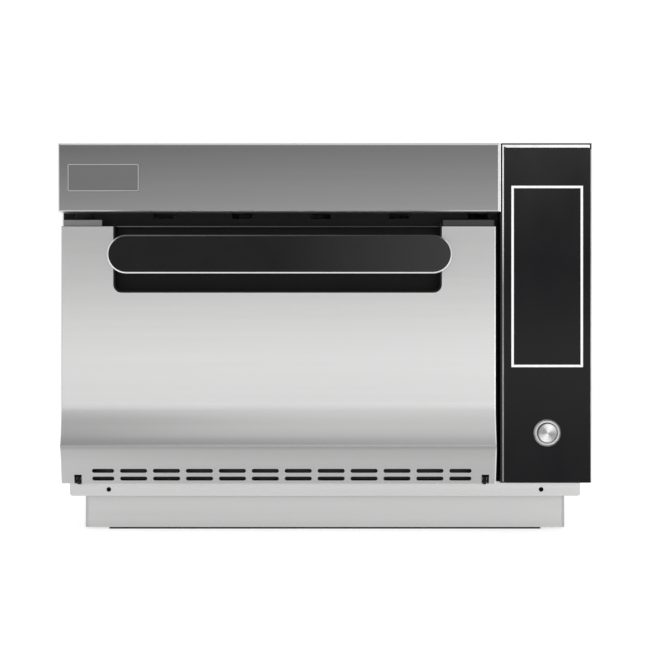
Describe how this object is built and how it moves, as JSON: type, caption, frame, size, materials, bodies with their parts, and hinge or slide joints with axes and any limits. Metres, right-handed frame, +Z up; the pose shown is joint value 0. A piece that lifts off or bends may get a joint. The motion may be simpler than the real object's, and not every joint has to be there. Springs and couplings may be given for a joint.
{
  "type": "speed oven",
  "caption": "Countertop speed oven with a stainless cabinet, a bottom-hinged door with a bar handle, a control column, a plinth and a fan-driven cooking cavity.",
  "frame": {"origin": "on the counter, under the middle of the oven's bounding box", "axes": "+Z up, -Y out of the door's front, +X to the right seen from the front"},
  "size_m": [0.65, 0.64, 0.475],
  "materials": {
    "brushed_stainless": "satin brushed",
    "inner_stainless": "plain",
    "galvanised": "galvanised",
    "black_metal": "satin",
    "black_plastic": "fine texture",
    "black_glass": "gloss",
    "bright_metal": "polished",
    "button_steel": "turned",
    "steel": "plain",
    "spring_steel": "plain",
    "rubber": "matte",
    "ceramic": "satin",
    "mineral_wool": "matte",
    "heater_sheath": "dark",
    "circuit_board": "satin",
    "copper_and_steel": "varnished",
    "light_plastic": "satin",
    "choke_plastic": "satin"
  },
  "bodies": {
    "cabinet": {"cabinet_wrap": "brushed_stainless", "rear_panel": "brushed_stainless", "rear_panel_screws": "steel", "top_fascia": "brushed_stainless", "control_housing": "black_metal", "control_bezel": "bright_metal", "control_overlay": "black_glass", "display_module": "black_plastic", "control_board": "circuit_board", "button_bezel": "button_steel", "button_nut": "steel", "button_spring": "spring_steel", "button_switch": "black_plastic", "base_pan": "brushed_stainless", "plinth": "brushed_stainless", "foot_strips": "rubber", "front_frame": "inner_stainless", "cavity_liner": "inner_stainless", "ceramic_floor_plate": "ceramic", "jet_plate": "inner_stainless", "rear_baffle": "inner_stainless", "insulation_blanket": "mineral_wool", "oven_rack": "bright_metal", "rack_rails": "inner_stainless", "convection_motor": "galvanised", "heater_ring": "heater_sheath", "catalyst": "heater_sheath", "stirrer_motor": "galvanised", "waveguides": "galvanised", "front_magnetron": "galvanised", "rear_magnetron": "galvanised", "front_transformer": "copper_and_steel", "rear_transformer": "copper_and_steel", "high_voltage_capacitors": "bright_metal", "cooling_fan_frame": "black_plastic", "component_shelf": "galvanised", "relay_board": "circuit_board", "line_filter": "bright_metal", "terminal_block": "light_plastic", "cable_gland": "black_plastic", "door_switches": "black_plastic", "hinge_arms": "steel"},
    "door": {"door_skin": "brushed_stainless", "door_inner_frame": "inner_stainless", "door_insulation": "mineral_wool", "choke_cover": "choke_plastic", "door_plug": "inner_stainless", "handle_pocket": "black_plastic", "handle_core": "bright_metal", "handle_cover": "black_plastic", "handle_posts": "bright_metal", "handle_screws": "steel", "hinge_channels": "inner_stainless", "hinge_pins": "steel", "latch_hooks": "steel"},
    "power_button": {"button_cap": "button_steel"},
    "convection_wheel": {"convection_impeller": "inner_stainless", "impeller_shaft": "steel"},
    "stirrer_wheel": {"stirrer": "bright_metal"},
    "cooling_rotor": {"cooling_fan_rotor": "black_plastic"}
  },
  "joints": [
    {"name": "door_hinge", "type": "hinge", "parent": "cabinet", "child": "door", "pos_m": [-0.0565, -0.266, 0.066], "axis": [1, 0, 0], "range_deg": [0, 90]},
    {"name": "button_press", "type": "slide", "parent": "cabinet", "child": "power_button", "axis": [0, 1, 0], "range_m": [0, 0.0025], "stiffness_N_per_m": 400, "deforming": ["button_spring"]},
    {"name": "convection_spin", "type": "hinge", "parent": "cabinet", "child": "convection_wheel", "pos_m": [-0.0565, 0.188, 0.2245], "axis": [0, 1, 0], "continuous": true},
    {"name": "stirrer_spin", "type": "hinge", "parent": "cabinet", "child": "stirrer_wheel", "pos_m": [-0.0565, -0.05575, 0.11], "axis": [0, 0, 1], "continuous": true},
    {"name": "cooling_spin", "type": "hinge", "parent": "cabinet", "child": "cooling_rotor", "pos_m": [0.24085, 0.298, 0.306], "axis": [0, 1, 0], "continuous": true}
  ]
}
